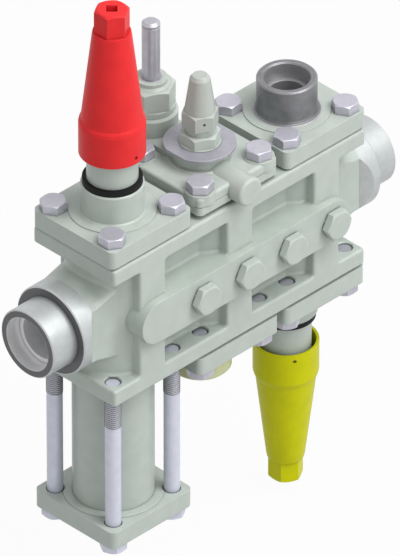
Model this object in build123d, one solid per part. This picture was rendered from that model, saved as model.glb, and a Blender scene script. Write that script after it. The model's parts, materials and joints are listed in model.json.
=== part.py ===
from build123d import *
import math
import os

# Refrigeration valve station: six bolted modules on one cast body.
# Row frame in millimetres: origin at the mouth of the inlet socket, flow along +X, +Z up.
# Profiles are lists of (radius, height) pairs measured in the body frame, flow axis at height 0.

# Clearances
FIT = 0.05            # radial clearance of turning, sliding and screwed fits
FREE = 0.3            # radial clearance of parts that only pass each other
TOUCH = 0.05          # axial gap left where a valve closes on its seat

# Bolt square and flange sizes
BOLT_AT = 30.0        # bolt distance from the module axis, in X and in Y
FLANGE_EDGE = 11.0    # from a bolt axis to the side of the flange
FLANGE_GAP = 7.0      # gap between the flanges of neighbouring modules
PLATE_EDGE = 10.2     # from a bolt axis to the side of the solenoid plate
SLAB_EDGE = 11.5      # from a bolt axis to the long side of the body's slabs
END_EDGE = 9.5        # from a bolt axis to the end face of the slabs
FLANGE_W = 2 * (BOLT_AT + FLANGE_EDGE)
PLATE_W = 2 * (BOLT_AT + PLATE_EDGE)

# Body casting
PITCH = FLANGE_W + FLANGE_GAP
END_X = BOLT_AT + END_EDGE
BODY_WID = 2 * (BOLT_AT + SLAB_EDGE)
BODY_HI = 120.0       # height over the flange slabs
SLAB_T = 14.0         # thickness of each flange slab
CORNER_R = 2.4        # rounding of the slab corners and edges
WALL_R = 35.0         # outer radius of the cast wall around each module axis
BRIDGE_Y = 24.0       # half width of the cast bridge between two axes
WEB_X = 13.0          # half width of the web in front of each axis
WEB_R = 2.2           # rounding of the web and pocket rims
ROOT_R = 2.5          # rounding of the pocket floors and corners
RAIL_HALF_Z = 17.3    # half height of the port rail
RAIL_OUT = 6.5        # the rail stands this far out of the slabs' long side
RAIL_Y = BODY_WID / 2 + RAIL_OUT

# Necks and sockets
NECK_IN_X = 22.15     # start of the neck, measured outward from the outer axis
NECK_BIG_R = 39.2     # neck radius at its start
NECK_ROOT_X = 10.0    # the neck runs on inside the wall to here, from the outer axis
NECK_X = 43.0         # end of the conical neck, measured outward from the outer axis
NECK_FLAT_Y = 27.1    # distance of the neck flats from the centre plane
NECK_END_X = 48.0     # end of the cast neck, measured outward from the outer axis
BOSS_END_X = 63.0     # end of the wide part of the socket, from the outer axis
SOCKET_END_X = 86.5   # mouth of the socket, from the outer axis
NIPPLE_R = 27.2       # outer radius of the socket
SOCKET_R = 21.35      # bore that takes a 42.4 mm pipe
SOCKET_DEPTH = 13.0   # depth of the pipe seat
FLOW_R = 17.5         # flow bore of inlet and outlet
SPIGOT_R = 22.0       # centring spigot of a socket in the cast neck
SPIGOT_LEN = 9.0      # length of that spigot
BREAK = 1.0           # small chamfer on turned edges

# Chambers
CHAMBER_R = 22.0      # module bore of the body
SEAT_Z = 18.0         # height of a main seat from the flow axis
PART_Z = 24.0         # far side of the partition that carries the seat
SEAT_R = 15.0         # hole through the partition
LIP_R = 17.0          # outer radius of the raised seat lip
LIP_H = 1.0           # height of the raised seat lip
DUCT_R = 12.0         # cast passages between the modules
RISER_R = 13.0        # vertical passages between the modules
DUCT_LOW_Z = -42.0    # height of the lower passages
DUCT_MID_Z = 2.0      # height of the passage into the solenoid chamber
DUCT_TOP_Z = 42.0     # height of the passage into the branch chamber

# Flanges and bolts
BOLT_R = 6.0          # M12
BOLT_SHORT = 1.5      # a bolt ends this far inside the slab
BOLT_AF = 18.0        # across flats of the bolt heads
BOLT_HEAD_H = 7.6
BOLT_TOP_R = 8.65     # chamfer circle on the bolt heads
HOLE_R = 6.6          # clearance hole for an M12 bolt
RIM_R = 6.8           # countersink on the threaded holes
FLANGE_R = 5.0
FLANGE_T = 14.6
GASKET_T = 1.8
GASKET_R = 34.0
FLANGE_Z = BODY_HI / 2 + GASKET_T
FLANGE_TOP = FLANGE_Z + FLANGE_T
STEP_R = 32.0         # raised step on the flange, just inside the bolt heads
STEP_H = 0.8

# Stop valves (red cap on the inlet, yellow cap on the outlet)
STOP_SPIGOT_Z = 24.0
STOP_NECK_R = 23.3
STOP_NECK_ROOT = 1.2  # fillet cone at the foot of the neck
STOP_NECK_Z = FLANGE_TOP + 24.6
STOP_STEM_R = 18.85
STOP_STEM_Z = STOP_NECK_Z + 59.0
DUST_R = 22.0
DUST_T = 4.5
GLAND_R = 12.0
GLAND_Z = STOP_STEM_Z - 2.0
GLAND_AF = 20.0
GLAND_HEX_H = 7.0
PACK_Z = GLAND_Z - 28.0
PACK_T = 10.0
SPINDLE_R = 6.0
SPINDLE_TOP = STOP_STEM_Z + 45.0
SPINDLE_SQ = 8.0      # across flats of the square end
SPINDLE_SQ_R = 5.5    # the square's corners are turned to this radius
SPINDLE_SQ_LEN = 15.0
STOP_LIFT = 14.0      # travel of the valve cone
CONE_R = 19.0
CONE_HUB_R = 12.0
CONE_HUB_OUT = 0.5    # the hub ends this far above the face of the soft ring
CONE_T = 7.0
RING_R = 18.0
RING_T = 4.0
RING_LOW = -SEAT_Z + STOP_LIFT + TOUCH
CONE_Z = RING_LOW + RING_T
COLLAR_R = 8.0
COLLAR_T = 3.0
NUT_T = 5.0
NUT_SINK = 2.0        # depth of the cone nut's spigot inside the cone
CAP_Z = STOP_STEM_Z - 32.5
CAP_COLLAR_R = 24.5
CAP_COLLAR_Z = CAP_Z + 25.6
CAP_SHOULDER_R = 23.9
CAP_SHOULDER_H = 2.6
CAP_BODY_R = 22.7
CAP_BODY_Z = CAP_COLLAR_Z + 4.5
CAP_TIP_R = 14.5
CAP_TIP_Z = CAP_BODY_Z + 70.8
CAP_STEP_R = 13.9
CAP_STEP_Z = CAP_TIP_Z + 3.2
CAP_HEX_AF = 23.0
CAP_HEX_Z = CAP_STEP_Z + 18.9
CAP_HEX_TOP_R = 10.4
CAP_SOCKET_AF = 8.0
CAP_SOCKET_DEPTH = 6.0
CAP_SKIRT_R = 22.3    # inside of the cap skirt
CAP_SKIRT_Z = STOP_STEM_Z - 12.0
CAP_SEAL_R = 18.45
CAP_SEAL_IN_R = 14.0
CAP_SEAL_T = 2.0
CAP_HOLLOW_R = 16.5
CAP_HOLLOW_TIP_R = 10.6
CAP_HOLLOW_Z = CAP_TIP_Z - 4.4
SEAL_HOLE_R = 1.5     # hole for a lead seal wire
SEAL_HOLE_Z = CAP_Z + 4.9
SEAL_HOLE_AT = (-90.0, 240.0)

# Strainer
TUBE_R = 30.15
TUBE_BORE = 26.95
TUBE_LEN = 112.0      # from the body to the end flange
TUBE_END_Z = -BODY_HI / 2 - TUBE_LEN
TUBE_SINK = 4.0       # depth of the groove that centres the tube
TUBE_GASKET_T = 2.0
BASKET_R = 17.0
BASKET_WALL = 0.8
BASKET_RIM_R = 19.5
BASKET_RIM_T = 3.0
BASKET_FLOOR_T = 2.0
HOOP_R = 18.0         # stiffening hoops on the basket
HOOP_T = 2.0

# Solenoid module
PLATE_R = 4.6
SLEEVE_COLLAR_R = 33.0
PLATE_Z = FLANGE_Z + 2.0
PLATE_TOP = PLATE_Z + 6.7
COVER_GASKET_IN = 2.0 # the upper gasket stays this far inside the plate's edge
COVER_Z = PLATE_TOP + 0.5
COVER_TOP = COVER_Z + 7.7
PAD_R = 11.5
PAD_H = 0.6
HUB_BIG_R = 26.0
HUB_MID_R = 24.2
HUB_R = 23.4
HUB_Z = COVER_TOP + 0.9
HUB_ROUND_H = 0.7
PILLAR_R = 20.5
PILLAR_Z = HUB_Z + 10.6
DISC_R = 26.6
DISC_FLAT = 25.0
DISC_T = 2.1
NUT_FLANGE_R = 15.5
NUT_FLANGE_T = 0.7
NUT_AF = 26.6
NUT_TOP_R = 12.7
NUT_TOP = PILLAR_Z + 11.4
NUT_NECK_R = 10.5
NUT_NECK_Z = NUT_TOP + 5.4
NUT_THREAD_R = 9.0
NUT_THREAD_Z = NUT_NECK_Z + 11.0
MCAP_AF = 24.0
MCAP_HEX_R = 11.6
MCAP_HEX_Z = NUT_NECK_Z + 12.7
MCAP_BASE_R = 11.35
MCAP_BASE_H = 0.8
MCAP_TIP_R = 7.6
MCAP_TIP_Z = MCAP_HEX_Z + 27.3
MCAP_TOP_R = 5.5
MCAP_TOP_Z = MCAP_TIP_Z + 2.7
MCAP_HOLE_R = 1.2     # hole for a lead seal wire
MCAP_HOLE_AT = -120.0
MSTEM_R = 5.0
MSTEM_TOP = NUT_THREAD_Z + 20.0
MSTEM_LIFT = 6.0
MSTEM_FOOT_R = 3.5
MSTEM_FOOT_T = 1.5
MSTEM_SQ = 7.5
MSTEM_SQ_LEN = 10.0
BULGE_R = 11.3
BULGE_Z = COVER_Z + 1.0
BULGE_Y = 52.6
BULGE_ROUND = 2.5
PILOT_Y = 50.0
PILOT_R = 19.8
PILOT_ROUND = 2.0     # cones at the foot and the top of the pilot boss
PILOT_LOW_Z = COVER_Z + 4.0
PILOT_BRIDGE_H = 4.0  # the bridge to the boss stands this far above the cover
PILOT_Z = COVER_TOP + 19.3
PILOT_CHANNEL_R = 2.5
SLEEVE_Z = 18.0
PISTON_R = 18.0
PISTON_LOW = 20.0
PISTON_TOP = 46.0
PISTON_BORE = 12.0
PISTON_WALL = 3.0
PISTON_STEM_R = 7.0
PLUG_R = 18.5
PLUG_T = 8.0
PLUG_BEVEL = 2.0
PLATE_BORE = 15.0
PILOT_NUT_AF = 32.0
PILOT_NUT_TOP_R = 15.4
PILOT_NUT_LOW = PILOT_Z + 4.5
PILOT_NUT_TOP = PILOT_NUT_LOW + 16.5
PILOT_NUT_COLLAR_R = 18.0
PILOT_NUT_RING_R = 12.0
PILOT_NUT_RING_Z = PILOT_NUT_TOP + 5.0
PILOT_THREAD_R = 13.0
PILOT_SPIGOT_Z = PILOT_Z - 6.0
PILOT_BORE_Z = PILOT_SPIGOT_Z - 8.0
ARM_TUBE_R = 6.75
ARM_ROOT_R = 8.0      # thicker foot of the tube inside its nut
ARM_TUBE_TOP = PILOT_NUT_RING_Z + 48.8
ARM_GROOVE = (4.2, 3.0)  # the clip groove, measured down from the tube's end
ARM_GROOVE_DEEP = 0.6
ARM_TIP_R = 4.75
ARM_TIP_H = 1.7
ARM_TUBE_BORE = 5.0
ARM_TUBE_STOP = PILOT_NUT_RING_Z + 10.0
ARM_TUBE_LOW = PILOT_SPIGOT_Z + 4.0
ARM_R = 4.95
ARM_CONE = (2.0, 3.5) # radii of the pilot cone
ARM_LOW = PILOT_BORE_Z + 4.0
ARM_TOP = ARM_TUBE_STOP - 12.0

# Check module
CHECK_R = 18.0
CHECK_T = 5.0
CHECK_STEM_R = 6.0
CHECK_STEM_END = -FLANGE_TOP - 11.6
CHECK_SPIGOT_Z = BODY_HI / 2 - 5.0
CHECK_CAP_R = 23.2
CHECK_CAP_Z = FLANGE_TOP + 29.3
CHECK_CAP_ROOF = 7.0
CHECK_CAP_CHAMFER = 2.0
CHECK_CAP_THREAD_R = 14.0
CHECK_CAP_THREAD_Z = FLANGE_TOP - 8.4
CHECK_CAP_FREE = 2.0  # room around the stem inside the cap

# Branch with weld neck
BRANCH_R = 22.35
BRANCH_TOP = FLANGE_TOP + 28.9
BRANCH_SOCKET_R = 17.05
BRANCH_SOCKET_DEPTH = 13.0
BRANCH_BORE = 13.3
BRANCH_SEAT_Z = FLANGE_Z + 4.2
BRANCH_ROOT_R = 25.2  # foot of the weld bead
BRANCH_BEAD_R = 23.15
BRANCH_BEAD_H = (0.8, 2.8)

# Side plugs
PLUG_AF = 22.0
PLUG_HEAD = 6.3
PLUG_SEAL_T = 1.2
PLUG_SEAL_R = 10.6
PLUG_TOP_R = 10.4
PLUG_THREAD_R = 8.0
PLUG_LEN = 14.0
PORT_R = 4.0

# Springs: mean radius, wire radius, turns
SERVO_SPRING = (10.5, 1.1, 5)
ARM_SPRING = (3.3, 0.55, 5)
CHECK_SPRING = (11.0, 1.2, 5)

X2 = PITCH + SOCKET_END_X
X1 = X2 - PITCH
X3 = X2 + PITCH
AXES = (X1, X2, X3)
TOP = BODY_HI / 2
SIDE = BODY_WID / 2
SLAB_IN = TOP - SLAB_T
END_FACE = PITCH + END_X  # end face of the slabs from the middle axis
CORNERS = ((-1, -1), (1, -1), (1, 1), (-1, 1))


def lathe(*points):
    """Solid of revolution about the Z axis from (radius, height) points."""
    face = make_face(Polyline(*[(r, 0, z) for r, z in points], close=True))
    return revolve(face, Axis.Z, 360)


def rod(radius, low, high):
    """Cylinder about Z between two heights."""
    return Pos(0, 0, low) * Cylinder(radius, high - low, align=(Align.CENTER, Align.CENTER, Align.MIN))


def tube(outer, inner, low, high):
    """Hollow cylinder about Z between two heights."""
    return rod(outer, low, high) - rod(inner, low, high)


def block(x0, x1, y0, y1, z0, z1):
    """Box between two corners."""
    size = Box(x1 - x0, y1 - y0, z1 - z0)
    return Pos((x0 + x1) / 2, (y0 + y1) / 2, (z0 + z1) / 2) * size


def x_rod(radius, x0, x1, y=0.0, z=0.0):
    """Cylinder along X."""
    return Pos(x0, y, z) * Rot(0, 90, 0) * rod(radius, 0, x1 - x0)


def y_rod(radius, y0, y1, x=0.0, z=0.0):
    """Cylinder along Y."""
    return Pos(x, y0, z) * Rot(-90, 0, 0) * rod(radius, 0, y1 - y0)


def hexagon(across, low, high, top_r, turn=30.0):
    """Hexagon between two heights with a chamfer cone that ends in a circle at the top."""
    far = across / math.sqrt(3)
    drop = (far - top_r) * math.tan(math.radians(30))
    prism = extrude(RegularPolygon(far, 6, rotation=turn), high - low)
    cone = lathe((0, low), (far, low), (far, high - drop), (top_r, high), (0, high))
    return Pos(0, 0, low) * prism & cone


def square_end(size, low, high, turn=0.0):
    """Square bar about Z between two heights."""
    bar = Box(size, size, high - low, align=(Align.CENTER, Align.CENTER, Align.MIN))
    return Pos(0, 0, low) * Rot(0, 0, turn) * bar


def under(shape):
    """Turns a module that was drawn on the top face to the underside."""
    return Rot(180, 0, 0) * shape


def bolt(seat, turn):
    """M12 screw with its head on the given height; it ends just inside the slab."""
    low = SLAB_IN + BOLT_SHORT
    head = hexagon(BOLT_AF, seat, seat + BOLT_HEAD_H, BOLT_TOP_R, turn)
    shank = lathe((0, low), (BOLT_R - BREAK, low), (BOLT_R, low + BREAK), (BOLT_R, seat), (0, seat))
    return head + shank


def bolt_group(seat, turns):
    """Four screws of one flange; the turns follow the corner order."""
    group = []
    for (sx, sy), turn in zip(CORNERS, turns):
        group.append(Pos(sx * BOLT_AT, sy * BOLT_AT, 0) * bolt(seat, turn))
    return Compound(children=group)


def square_flange(width, corner, low, high):
    """Square plate with rounded corners."""
    plate = extrude(RectangleRounded(width, width, corner), high - low)
    return Pos(0, 0, low) * plate


def drill(shape, radius, low, high):
    """Drills the four holes of the bolt square."""
    for sx, sy in CORNERS:
        shape = shape - Pos(sx * BOLT_AT, sy * BOLT_AT, 0) * rod(radius, low, high)
    return shape


def helix_spring(mean_r, wire_r, turns, low, high):
    """Compression spring whose wire stays between two heights."""
    rise = high - low - 2 * wire_r
    path = Helix(pitch=rise / turns, height=rise, radius=mean_r)
    start = path @ 0
    section = Plane(origin=start, z_dir=path % 0) * Circle(wire_r)
    return Pos(0, 0, low + wire_r) * sweep(section, path=path, is_frenet=True)


def pocket_profile(x_left, x_right, y_back):
    """Plan of a side pocket between two webs, drawn for the -Y side."""
    reach = math.sqrt(WALL_R ** 2 - WEB_X ** 2)
    run = math.sqrt(WALL_R ** 2 - y_back ** 2)
    mid = math.radians(-90 + (math.degrees(math.asin(WEB_X / WALL_R))
                              + math.degrees(math.asin(run / WALL_R))) / 2)
    left_mid = (x_left + WALL_R * math.cos(mid), WALL_R * math.sin(mid))
    right_mid = (x_right - WALL_R * math.cos(mid), WALL_R * math.sin(mid))
    mouth = -SIDE
    a = (x_left + WEB_X, mouth)
    b = (x_left + WEB_X, -reach)
    c = (x_left + run, -y_back)
    d = (x_right - run, -y_back)
    e = (x_right - WEB_X, -reach)
    f = (x_right - WEB_X, mouth)
    outline = [Line(a, b), ThreePointArc(b, left_mid, c), Line(c, d),
               ThreePointArc(d, right_mid, e), Line(e, f), Line(f, a)]
    return make_face(outline)


def side_pocket(x_left, x_right, low, high):
    """Pocket between two webs, rounded at its inner corners and floors."""
    solid = Pos(0, 0, low) * extrude(pocket_profile(x_left, x_right, BRIDGE_Y), high - low)
    inner = [e for e in solid.edges() if abs(e.center().Y + SIDE) > 0.01]
    return fillet(inner, ROOT_R)


def on_rim(edge):
    """True for an edge that lies in an outer side or end plane of the casting."""
    points = [edge @ 0, edge @ 0.5, edge @ 1]
    on_side = all(abs(abs(v.Y) - SIDE) < 0.01 for v in points)
    on_end = all(abs(abs(v.X - X2) - END_FACE) < 0.01 for v in points)
    return on_side or on_end


def end_cavity():
    """Space around the inlet neck between the two slabs, at the -X end."""
    x_in = X1 - WEB_X
    x_out = X2 - END_FACE
    space = block(x_out, x_in, -SIDE, SIDE, -SLAB_IN, SLAB_IN)
    space = space - Pos(X1, 0, 0) * rod(WALL_R, -SLAB_IN, SLAB_IN)
    space = space - neck_solid(NECK_ROOT_X)
    return fillet([e for e in space.edges() if not on_rim(e)], ROOT_R)


def neck_solid(start):
    """Cast inlet neck with its two flats."""
    slope = (NECK_BIG_R - WALL_R) / (NECK_X - NECK_IN_X)
    r_start = NECK_BIG_R + slope * (NECK_IN_X - start)
    shape = lathe((0, start), (r_start, start), (WALL_R, NECK_X), (WALL_R, NECK_END_X), (0, NECK_END_X))
    shape = Pos(X1, 0, 0) * Rot(0, -90, 0) * shape
    return shape & block(X1 - NECK_END_X, X1, -NECK_FLAT_Y, NECK_FLAT_Y, -NECK_BIG_R * 2, NECK_BIG_R * 2)


def mirrored_x(shape):
    """Mirror about the middle module axis."""
    return mirror(shape, about=Plane(origin=(X2, 0, 0), z_dir=(1, 0, 0)))


def rail():
    """Obround port rail on the -Y side."""
    plan = SlotCenterToCenter(2 * PITCH, 2 * RAIL_HALF_Z)
    bar = extrude(plan, RAIL_Y - BRIDGE_Y)
    return Pos(X2, -BRIDGE_Y, 0) * Rot(90, 0, 0) * bar


def pocket_rims(shape):
    """Mouth edges of the four side pockets and the two back pockets."""
    return [e for e in shape.edges() if on_rim(e)
            and abs((e @ 0.5).X - X2) < PITCH - WEB_X + 1 and abs((e @ 0.5).Z) < TOP - 1]


def end_rims(shape):
    """Mouth edges of the two end cavities."""
    far = END_FACE - CORNER_R - 0.1
    chosen = []
    for edge in shape.edges().filter_by(GeomType.LINE):
        upright = abs((edge @ 0).Z - (edge @ 1).Z) > CORNER_R
        corner = upright and abs((edge @ 0.5).X - X2) > far
        outer = abs((edge @ 0.5).X - X2) > PITCH and abs((edge @ 0.5).Z) < TOP - 1
        if on_rim(edge) and outer and not corner:
            chosen.append(edge)
    return chosen


def face_rims(shape):
    """Edges around the top and bottom faces."""
    return [e for e in shape.edges().filter_by(GeomType.LINE) if on_rim(e)
            and abs((e @ 0.5).Z) > TOP - 0.1]


def outer_casting():
    """Outside of the cast body before any bore."""
    shape = block(X2 - END_FACE, X2 + END_FACE, -SIDE, SIDE, -TOP, TOP)
    shape = fillet(shape.edges().filter_by(Axis.Z), CORNER_R)
    cavity = end_cavity()
    shape = shape - cavity - mirrored_x(cavity)
    for left, right in ((X1, X2), (X2, X3)):
        upper = side_pocket(left, right, RAIL_HALF_Z, SLAB_IN)
        lower = side_pocket(left, right, -SLAB_IN, -RAIL_HALF_Z)
        back = Pos(left + right, 0, 0) * Rot(0, 0, 180) * side_pocket(left, right, -SLAB_IN, SLAB_IN)
        shape = shape - upper - lower - back
    shape = fillet(pocket_rims(shape), WEB_R)
    shape = fillet(end_rims(shape), WEB_R)
    shape = fillet(face_rims(shape), CORNER_R)
    neck = neck_solid(NECK_ROOT_X)
    return shape + neck + mirrored_x(neck) + rail()


def chambers():
    """Bores, seats and passages cut from the casting, as a list of tools."""
    floor_in = SEAT_Z + LIP_H
    lip_tool = tube(CHAMBER_R, LIP_R, -floor_in, -SEAT_Z)
    axis1 = rod(CHAMBER_R, -SEAT_Z, TOP) + lip_tool + rod(SEAT_R, -PART_Z, -SEAT_Z)
    axis1 = axis1 + rod(CHAMBER_R, -TOP, -PART_Z)
    axis1 = axis1 + rod(TUBE_R + FREE, -TOP, -TOP + TUBE_SINK)
    low_lip = tube(CHAMBER_R, LIP_R, -PART_Z - LIP_H, -PART_Z)
    axis2 = rod(CHAMBER_R, -SEAT_Z, TOP) + lip_tool + rod(SEAT_R, -PART_Z, -SEAT_Z)
    axis2 = axis2 + low_lip + rod(CHAMBER_R, -TOP, -PART_Z - LIP_H)
    axis3 = rod(CHAMBER_R, -SEAT_Z, TOP) + lip_tool + rod(SEAT_R, -PART_Z, -SEAT_Z)
    axis3 = under(axis3 + rod(CHAMBER_R, -TOP, -PART_Z))
    mid12 = (X1 + X2) / 2
    mid23 = (X2 + X3) / 2
    tools = [Pos(X1, 0, 0) * axis1, Pos(X2, 0, 0) * axis2, Pos(X3, 0, 0) * axis3]
    tools.append(x_rod(FLOW_R, X1 - SOCKET_END_X, X1))
    tools.append(x_rod(FLOW_R, X3, X3 + SOCKET_END_X))
    tools.append(x_rod(SPIGOT_R + FIT, X1 - NECK_END_X, X1 - NECK_END_X + SPIGOT_LEN))
    tools.append(x_rod(SPIGOT_R + FIT, X3 + NECK_END_X - SPIGOT_LEN, X3 + NECK_END_X))
    tools.append(x_rod(DUCT_R, X1, mid12, 0, DUCT_LOW_Z))
    tools.append(x_rod(DUCT_R, mid12, X2, 0, DUCT_MID_Z))
    tools.append(x_rod(DUCT_R, X2, mid23, 0, DUCT_LOW_Z))
    tools.append(x_rod(DUCT_R, mid23, X3, 0, DUCT_TOP_Z))
    tools.append(Pos(mid12, 0, 0) * rod(RISER_R, DUCT_LOW_Z - DUCT_R, DUCT_MID_Z + DUCT_R))
    tools.append(Pos(mid23, 0, 0) * rod(RISER_R, DUCT_LOW_Z - DUCT_R, DUCT_TOP_Z + DUCT_R))
    return tools


def plug_places():
    """X positions of the plugged side ports."""
    return [(X1 + X2) / 2, X2, (X2 + X3) / 2, X3]


def threaded_holes():
    """Through-holes of the bolt squares in both slabs, countersunk at their rims."""
    rim = RIM_R - BOLT_R - FIT
    hole = lathe((0, 0), (RIM_R, 0), (BOLT_R + FIT, rim), (BOLT_R + FIT, SLAB_T - rim),
                 (RIM_R, SLAB_T), (0, SLAB_T))
    tools = []
    for axis in AXES:
        for sx, sy in CORNERS:
            for base in (SLAB_IN, -TOP):
                tools.append(Pos(axis + sx * BOLT_AT, sy * BOLT_AT, base) * hole)
    return tools


def station_body():
    """The cast body with chambers, ports and threaded holes."""
    shape = outer_casting()
    for tool in chambers() + threaded_holes():
        shape = shape - tool
    for x in plug_places():
        shape = shape - y_rod(PLUG_THREAD_R + FIT, -RAIL_Y, -RAIL_Y + PLUG_LEN + BREAK, x)
        shape = shape - y_rod(PORT_R, -RAIL_Y + PLUG_LEN, 0, x)
    return shape


def socket():
    """Inlet socket, drawn along +Z from the module axis outward."""
    seat = SOCKET_END_X - SOCKET_DEPTH
    shape = lathe((FLOW_R, NECK_END_X - SPIGOT_LEN), (SPIGOT_R, NECK_END_X - SPIGOT_LEN),
                  (SPIGOT_R, NECK_END_X), (WALL_R, NECK_END_X), (WALL_R, BOSS_END_X - BREAK),
                  (WALL_R - BREAK, BOSS_END_X), (NIPPLE_R, BOSS_END_X),
                  (NIPPLE_R, SOCKET_END_X - BREAK), (NIPPLE_R - BREAK, SOCKET_END_X),
                  (SOCKET_R, SOCKET_END_X), (SOCKET_R, seat), (FLOW_R, seat))
    rise = WALL_R - NECK_FLAT_Y
    for side in (-1, 1):
        cut = make_face(Polyline((NECK_FLAT_Y, NECK_END_X), (WALL_R + 1, NECK_END_X),
                                 (WALL_R + 1, NECK_END_X + rise + 1), close=True))
        wedge = extrude(Plane.YZ * cut, WALL_R + 1, both=True)
        wedge = wedge if side > 0 else mirror(wedge, about=Plane.XZ)
        shape = shape - wedge
    return Pos(X1, 0, 0) * Rot(0, -90, 0) * shape


def side_plug():
    """Hexagon plug of a side port, drawn along +Z with its seal face at height 0."""
    head = hexagon(PLUG_AF, PLUG_SEAL_T, PLUG_SEAL_T + PLUG_HEAD, PLUG_TOP_R, 0)
    return head + rod(PLUG_THREAD_R, -PLUG_LEN, PLUG_SEAL_T)


def on_rail(shape):
    """Copies of a plug part on every side port, facing -Y."""
    placed = [Pos(x, -RAIL_Y, 0) * Rot(90, 0, 0) * shape for x in plug_places()]
    return Compound(children=placed)


def stop_cover():
    """Bonnet of a stop valve with flange, spigot and spindle neck."""
    shape = square_flange(FLANGE_W, FLANGE_R, FLANGE_Z, FLANGE_TOP)
    step_z = FLANGE_TOP + STEP_H
    core = lathe((0, STOP_SPIGOT_Z), (CHAMBER_R - FIT, STOP_SPIGOT_Z), (CHAMBER_R - FIT, FLANGE_TOP),
                 (STEP_R, FLANGE_TOP), (STEP_R, step_z), (STOP_NECK_R + STOP_NECK_ROOT, step_z),
                 (STOP_NECK_R, step_z + STOP_NECK_ROOT), (STOP_NECK_R, STOP_NECK_Z - BREAK),
                 (STOP_NECK_R - BREAK, STOP_NECK_Z), (STOP_STEM_R, STOP_NECK_Z),
                 (STOP_STEM_R, STOP_STEM_Z - BREAK), (STOP_STEM_R - BREAK, STOP_STEM_Z), (0, STOP_STEM_Z))
    shape = shape + core
    shape = shape - rod(SPINDLE_R + FIT, STOP_SPIGOT_Z, PACK_Z) - rod(GLAND_R + FIT, PACK_Z, STOP_STEM_Z)
    return drill(shape, HOLE_R, FLANGE_Z, FLANGE_TOP + STEP_H)


def stop_gasket(hole=CHAMBER_R + FIT):
    """Flat ring between the body and a module flange."""
    return tube(GASKET_R, hole, TOP, FLANGE_Z)


def stop_spindle():
    """Spindle with a captive collar at its foot and a square at its top."""
    low = CONE_Z + CONE_T - NUT_SINK - COLLAR_T - 2 * TOUCH
    shape = rod(COLLAR_R, low, low + COLLAR_T) + rod(SPINDLE_R, low, SPINDLE_TOP - SPINDLE_SQ_LEN)
    square = square_end(SPINDLE_SQ, SPINDLE_TOP - SPINDLE_SQ_LEN, SPINDLE_TOP)
    return shape + (square & rod(SPINDLE_SQ_R, SPINDLE_TOP - SPINDLE_SQ_LEN, SPINDLE_TOP))


def stop_cone():
    """Valve cone in its open position, with the pocket for the spindle collar."""
    hub = RING_LOW + CONE_HUB_OUT
    shape = lathe((0, hub), (CONE_HUB_R - BREAK, hub), (CONE_HUB_R, hub + BREAK),
                  (CONE_HUB_R, CONE_Z), (CONE_R, CONE_Z), (CONE_R, CONE_Z + CONE_T - BREAK),
                  (CONE_R - BREAK, CONE_Z + CONE_T), (0, CONE_Z + CONE_T))
    floor = CONE_Z + CONE_T - NUT_SINK - COLLAR_T - 3 * TOUCH
    return shape - rod(COLLAR_R + FREE, floor, CONE_Z + CONE_T)


def stop_cone_ring():
    """Soft seat ring under the valve cone."""
    return tube(RING_R, CONE_HUB_R + FIT, RING_LOW, CONE_Z)


def stop_cone_nut():
    """Ring nut that holds the spindle collar in the cone."""
    top = CONE_Z + CONE_T
    inner = SPINDLE_R + FREE
    return lathe((inner, top - NUT_SINK + TOUCH), (COLLAR_R + FREE - FIT, top - NUT_SINK + TOUCH),
                 (COLLAR_R + FREE - FIT, top), (CONE_HUB_R, top), (CONE_HUB_R, top + NUT_T),
                 (inner, top + NUT_T))


def stop_packing():
    """Packing rings around the spindle."""
    return tube(GLAND_R, SPINDLE_R + FIT, PACK_Z, PACK_Z + PACK_T)


def stop_gland():
    """Gland nut that presses the packing."""
    shape = rod(GLAND_R, PACK_Z + PACK_T, GLAND_Z)
    shape = shape + hexagon(GLAND_AF, GLAND_Z, GLAND_Z + GLAND_HEX_H, GLAND_AF / 2)
    return shape - rod(SPINDLE_R + FIT, PACK_Z + PACK_T, GLAND_Z + GLAND_HEX_H)


def dust_seal():
    """Rubber ring on the shoulder of the neck."""
    return tube(DUST_R, STOP_STEM_R + FIT, STOP_NECK_Z, STOP_NECK_Z + DUST_T)


def cap_seal():
    """Seal ring on the end of the neck."""
    return tube(CAP_SEAL_R, CAP_SEAL_IN_R, STOP_STEM_Z, STOP_STEM_Z + CAP_SEAL_T)


def stop_cap(hole_angle):
    """Screw cap over the spindle with collar, cone and hexagon."""
    shoulder = STOP_STEM_Z + CAP_SEAL_T
    shape = lathe((0, CAP_Z), (CAP_COLLAR_R, CAP_Z), (CAP_COLLAR_R, CAP_COLLAR_Z),
                  (CAP_SHOULDER_R, CAP_COLLAR_Z + CAP_SHOULDER_H), (CAP_BODY_R, CAP_BODY_Z),
                  (CAP_TIP_R, CAP_TIP_Z), (CAP_STEP_R, CAP_STEP_Z), (0, CAP_STEP_Z))
    shape = shape + hexagon(CAP_HEX_AF, CAP_STEP_Z, CAP_HEX_Z, CAP_HEX_TOP_R)
    hollow = lathe((0, CAP_Z), (CAP_SKIRT_R, CAP_Z), (CAP_SKIRT_R, CAP_SKIRT_Z),
                   (STOP_STEM_R + FREE, CAP_SKIRT_Z + 2 * BREAK), (STOP_STEM_R + FREE, shoulder),
                   (CAP_HOLLOW_R, shoulder), (CAP_HOLLOW_TIP_R, CAP_HOLLOW_Z), (0, CAP_HOLLOW_Z))
    shape = shape - hollow
    shape = shape - square_end(CAP_SOCKET_AF, CAP_HEX_Z - CAP_SOCKET_DEPTH, CAP_HEX_Z, 45)
    hole = Rot(0, 0, hole_angle) * x_rod(SEAL_HOLE_R, STOP_STEM_R, 2 * CAP_COLLAR_R, 0, SEAL_HOLE_Z)
    return shape - hole


def filter_tube():
    """Strainer housing tube."""
    return tube(TUBE_R, TUBE_BORE, TUBE_END_Z - TUBE_SINK + TUBE_GASKET_T, -TOP + TUBE_SINK - TUBE_GASKET_T)


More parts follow.
